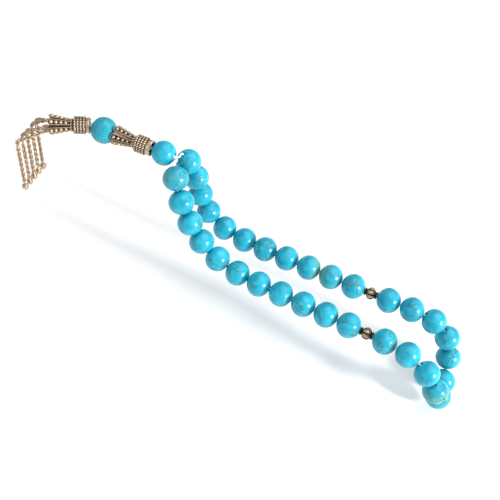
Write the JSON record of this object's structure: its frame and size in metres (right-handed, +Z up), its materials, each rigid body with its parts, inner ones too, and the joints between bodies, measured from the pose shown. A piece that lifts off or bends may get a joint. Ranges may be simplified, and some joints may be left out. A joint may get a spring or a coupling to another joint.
{
  "type": "prayer beads",
  "caption": "Misbaha prayer beads in turquoise stone, with metal dividers, a gathering bead, a capped head and a fine chain tassel, draped over a ledge and a step.",
  "frame": {"origin": "rest point on the ledge, straight below the gathering bead", "axes": "+X from the head along the two strands towards the hanging loop, +Y from the front strand towards the back strand, +Z up"},
  "size_m": [0.1965, 0.0391, 0.0743],
  "materials": {
    "turquoise": "polished stone with brown and green matrix",
    "antiqued_silver": "cast silver-tone metal, blackened in its hollows",
    "chain_metal": "silver-tone chain, warmed by tarnish",
    "white_cord": "braided white nylon"
  },
  "bodies": {
    "root": {"string": "white_cord", "string_knot": "white_cord", "tassel_ring": "chain_metal", "chain_1_laid": "chain_metal", "chain_2_laid": "chain_metal", "chain_3_laid": "chain_metal", "chain_4_laid": "chain_metal", "chain_5_laid": "chain_metal"},
    "bead_front_01": {"bead_front_01": "turquoise"},
    "bead_front_02": {"bead_front_02": "turquoise"},
    "bead_front_03": {"bead_front_03": "turquoise"},
    "bead_front_04": {"bead_front_04": "turquoise"},
    "bead_front_05": {"bead_front_05": "turquoise"},
    "bead_front_06": {"bead_front_06": "turquoise"},
    "bead_front_07": {"bead_front_07": "turquoise"},
    "bead_front_08": {"bead_front_08": "turquoise"},
    "bead_front_09": {"bead_front_09": "turquoise"},
    "bead_front_10": {"bead_front_10": "turquoise"},
    "bead_front_11": {"bead_front_11": "turquoise"},
    "divider_front": {"divider_front": "antiqued_silver"},
    "bead_middle_01": {"bead_middle_01": "turquoise"},
    "bead_middle_02": {"bead_middle_02": "turquoise"},
    "bead_middle_03": {"bead_middle_03": "turquoise"},
    "bead_middle_04": {"bead_middle_04": "turquoise"},
    "bead_middle_05": {"bead_middle_05": "turquoise"},
    "bead_middle_06": {"bead_middle_06": "turquoise"},
    "bead_middle_07": {"bead_middle_07": "turquoise"},
    "bead_middle_08": {"bead_middle_08": "turquoise"},
    "bead_middle_09": {"bead_middle_09": "turquoise"},
    "bead_middle_10": {"bead_middle_10": "turquoise"},
    "bead_middle_11": {"bead_middle_11": "turquoise"},
    "divider_back": {"divider_back": "antiqued_silver"},
    "bead_back_01": {"bead_back_01": "turquoise"},
    "bead_back_02": {"bead_back_02": "turquoise"},
    "bead_back_03": {"bead_back_03": "turquoise"},
    "bead_back_04": {"bead_back_04": "turquoise"},
    "bead_back_05": {"bead_back_05": "turquoise"},
    "bead_back_06": {"bead_back_06": "turquoise"},
    "bead_back_07": {"bead_back_07": "turquoise"},
    "bead_back_08": {"bead_back_08": "turquoise"},
    "bead_back_09": {"bead_back_09": "turquoise"},
    "bead_back_10": {"bead_back_10": "turquoise"},
    "bead_back_11": {"bead_back_11": "turquoise"},
    "gathering_bead": {"gathering_bead": "turquoise"},
    "upper_cap": {"upper_cap": "antiqued_silver"},
    "faceted_bead": {"faceted_bead": "turquoise"},
    "lower_cap": {"lower_cap": "antiqued_silver"},
    "chain_1_end": {"chain_1_hanging": "chain_metal", "chain_1_drop": "chain_metal"},
    "chain_2_end": {"chain_2_hanging": "chain_metal", "chain_2_drop": "chain_metal"},
    "chain_3_end": {"chain_3_hanging": "chain_metal", "chain_3_drop": "chain_metal"},
    "chain_4_end": {"chain_4_hanging": "chain_metal", "chain_4_drop": "chain_metal"},
    "chain_5_end": {"chain_5_hanging": "chain_metal", "chain_5_drop": "chain_metal"}
  },
  "joints": [
    {"name": "bead_front_01_slide", "type": "slide", "parent": "root", "child": "bead_front_01", "axis": [-0.4007, 0.4134, 0.8176], "range_m": [0, 0.0008]},
    {"name": "bead_front_02_spin", "type": "hinge", "parent": "root", "child": "bead_front_02", "pos_m": [0.0126, -0.00933, -0.00819], "axis": [0.4381, -0.2078, -0.8746], "continuous": true},
    {"name": "bead_front_03_spin", "type": "hinge", "parent": "root", "child": "bead_front_03", "pos_m": [0.01719, -0.01046, -0.01709], "axis": [0.4753, -0.0259, -0.8795], "continuous": true},
    {"name": "bead_front_04_spin", "type": "hinge", "parent": "root", "child": "bead_front_04", "pos_m": [0.02277, -0.01071, -0.02549], "axis": [0.6427, -0.04, -0.7651], "continuous": true},
    {"name": "bead_front_05_spin", "type": "hinge", "parent": "root", "child": "bead_front_05", "pos_m": [0.03049, -0.01118, -0.03195], "axis": [0.8744, -0.0496, -0.4826], "continuous": true},
    {"name": "bead_front_06_spin", "type": "hinge", "parent": "root", "child": "bead_front_06", "pos_m": [0.04007, -0.01189, -0.03502], "axis": [0.9888, -0.0934, -0.1167], "continuous": true},
    {"name": "bead_front_07_spin", "type": "hinge", "parent": "root", "child": "bead_front_07", "pos_m": [0.0501, -0.01274, -0.03535], "axis": [0.9975, -0.0683, 0.0196], "continuous": true},
    {"name": "bead_front_08_spin", "type": "hinge", "parent": "root", "child": "bead_front_08", "pos_m": [0.06016, -0.01337, -0.03512], "axis": [0.9982, -0.0577, 0.0134], "continuous": true},
    {"name": "bead_front_09_spin", "type": "hinge", "parent": "root", "child": "bead_front_09", "pos_m": [0.07023, -0.01391, -0.03514], "axis": [0.9986, -0.0505, -0.0145], "continuous": true},
    {"name": "bead_front_10_spin", "type": "hinge", "parent": "root", "child": "bead_front_10", "pos_m": [0.0803, -0.01442, -0.0353], "axis": [0.9986, -0.0502, -0.016], "continuous": true},
    {"name": "bead_front_11_spin", "type": "hinge", "parent": "root", "child": "bead_front_11", "pos_m": [0.09036, -0.01496, -0.03535], "axis": [0.9981, -0.0601, 0.0106], "continuous": true},
    {"name": "divider_front_spin", "type": "hinge", "parent": "root", "child": "divider_front", "pos_m": [0.09807, -0.01546, -0.03518], "axis": [0.9967, -0.0707, 0.039], "continuous": true},
    {"name": "bead_middle_01_spin", "type": "hinge", "parent": "root", "child": "bead_middle_01", "pos_m": [0.10577, -0.01606, -0.03482], "axis": [0.9953, -0.0854, 0.045], "continuous": true},
    {"name": "bead_middle_02_spin", "type": "hinge", "parent": "root", "child": "bead_middle_02", "pos_m": [0.11596, -0.01775, -0.03481], "axis": [0.9653, -0.2522, -0.0675], "continuous": true},
    {"name": "bead_middle_03_spin", "type": "hinge", "parent": "root", "child": "bead_middle_03", "pos_m": [0.12533, -0.02012, -0.03846], "axis": [0.7481, -0.1528, -0.6457], "continuous": true},
    {"name": "bead_middle_04_spin", "type": "hinge", "parent": "root", "child": "bead_middle_04", "pos_m": [0.13095, -0.02062, -0.0468], "axis": [0.3509, 0.0772, -0.9332], "continuous": true},
    {"name": "bead_middle_05_spin", "type": "hinge", "parent": "root", "child": "bead_middle_05", "pos_m": [0.13315, -0.01649, -0.05583], "axis": [0.0726, 0.7201, -0.69], "continuous": true},
    {"name": "bead_middle_06_spin", "type": "hinge", "parent": "root", "child": "bead_middle_06", "pos_m": [0.13316, -0.00678, -0.0588], "axis": [-0.0635, 0.9805, 0.1858], "continuous": true},
    {"name": "bead_middle_07_spin", "type": "hinge", "parent": "root", "child": "bead_middle_07", "pos_m": [0.13164, 0.00122, -0.05272], "axis": [-0.2248, 0.4632, 0.8573], "continuous": true},
    {"name": "bead_middle_08_spin", "type": "hinge", "parent": "root", "child": "bead_middle_08", "pos_m": [0.12821, 0.00345, -0.04351], "axis": [-0.4649, 0.0224, 0.8851], "continuous": true},
    {"name": "bead_middle_09_spin", "type": "hinge", "parent": "root", "child": "bead_middle_09", "pos_m": [0.12087, 0.00351, -0.0366], "axis": [-0.9142, 0.0029, 0.4053], "continuous": true},
    {"name": "bead_middle_10_spin", "type": "hinge", "parent": "root", "child": "bead_middle_10", "pos_m": [0.11095, 0.00362, -0.0348], "axis": [-0.9998, 0.0189, -0.0119], "continuous": true},
    {"name": "bead_middle_11_spin", "type": "hinge", "parent": "root", "child": "bead_middle_11", "pos_m": [0.10088, 0.00382, -0.03513], "axis": [-0.9992, 0.0195, -0.0335], "continuous": true},
    {"name": "divider_back_spin", "type": "hinge", "parent": "root", "child": "divider_back", "pos_m": [0.09316, 0.00397, -0.03533], "axis": [-0.9997, 0.018, -0.015], "continuous": true},
    {"name": "bead_back_01_spin", "type": "hinge", "parent": "root", "child": "bead_back_01", "pos_m": [0.08543, 0.0041, -0.03536], "axis": [-0.9999, 0.0165, 0.0041], "continuous": true},
    {"name": "bead_back_02_spin", "type": "hinge", "parent": "root", "child": "bead_back_02", "pos_m": [0.07535, 0.00426, -0.03524], "axis": [-0.9998, 0.0156, 0.0156], "continuous": true},
    {"name": "bead_back_03_spin", "type": "hinge", "parent": "root", "child": "bead_back_03", "pos_m": [0.06527, 0.00444, -0.03511], "axis": [-0.9997, 0.0228, 0.0071], "continuous": true},
    {"name": "bead_back_04_spin", "type": "hinge", "parent": "root", "child": "bead_back_04", "pos_m": [0.0552, 0.00477, -0.03515], "axis": [-0.999, 0.0419, -0.0155], "continuous": true},
    {"name": "bead_back_05_spin", "type": "hinge", "parent": "root", "child": "bead_back_05", "pos_m": [0.04513, 0.00526, -0.03539], "axis": [-0.9978, 0.0589, -0.0317], "continuous": true},
    {"name": "bead_back_06_spin", "type": "hinge", "parent": "root", "child": "bead_back_06", "pos_m": [0.03511, 0.00624, -0.03593], "axis": [-0.9894, 0.134, -0.0563], "continuous": true},
    {"name": "bead_back_07_spin", "type": "hinge", "parent": "root", "child": "bead_back_07", "pos_m": [0.02517, 0.00746, -0.03483], "axis": [-0.9468, 0.0939, 0.3077], "continuous": true},
    {"name": "bead_back_08_spin", "type": "hinge", "parent": "root", "child": "bead_back_08", "pos_m": [0.01702, 0.00797, -0.02891], "axis": [-0.5865, 0.0034, 0.81], "continuous": true},
    {"name": "bead_back_09_spin", "type": "hinge", "parent": "root", "child": "bead_back_09", "pos_m": [0.01302, 0.00771, -0.01967], "axis": [-0.2234, -0.0507, 0.9734], "continuous": true},
    {"name": "bead_back_10_spin", "type": "hinge", "parent": "root", "child": "bead_back_10", "pos_m": [0.01117, 0.00693, -0.00979], "axis": [-0.1781, -0.1138, 0.9774], "continuous": true},
    {"name": "bead_back_11_slide", "type": "slide", "parent": "root", "child": "bead_back_11", "axis": [-0.3668, -0.2603, 0.8931], "range_m": [0, 0.0008]},
    {"name": "gathering_bead_spin", "type": "hinge", "parent": "root", "child": "gathering_bead", "pos_m": [0, 0, 0.005], "axis": [1, 0, 0], "continuous": true},
    {"name": "upper_cap_spin", "type": "hinge", "parent": "root", "child": "upper_cap", "pos_m": [-0.0057, 0, 0.005], "axis": [-1, 0, 0], "continuous": true},
    {"name": "faceted_bead_spin", "type": "hinge", "parent": "root", "child": "faceted_bead", "pos_m": [-0.0269, 0, 0.005], "axis": [-1, 0, 0], "continuous": true},
    {"name": "lower_cap_spin", "type": "hinge", "parent": "root", "child": "lower_cap", "pos_m": [-0.0331, -0.0002, 0.005], "axis": [-0.8988, -0.4384, 0], "continuous": true},
    {"name": "chain_1_swing", "type": "hinge", "parent": "root", "child": "chain_1_end", "pos_m": [-0.0568, -0.004, -0.0036], "axis": [0, 1, 0], "range_deg": [-40, 40]},
    {"name": "chain_2_swing", "type": "hinge", "parent": "root", "child": "chain_2_end", "pos_m": [-0.0568, -0.0074, -0.0036], "axis": [0, 1, 0], "range_deg": [-40, 40]},
    {"name": "chain_3_swing", "type": "hinge", "parent": "root", "child": "chain_3_end", "pos_m": [-0.0568, -0.0108, -0.0036], "axis": [0, 1, 0], "range_deg": [-40, 40]},
    {"name": "chain_4_swing", "type": "hinge", "parent": "root", "child": "chain_4_end", "pos_m": [-0.0568, -0.0142, -0.0036], "axis": [0, 1, 0], "range_deg": [-40, 40]},
    {"name": "chain_5_swing", "type": "hinge", "parent": "root", "child": "chain_5_end", "pos_m": [-0.0568, -0.0176, -0.0036], "axis": [0, 1, 0], "range_deg": [-40, 40]}
  ]
}
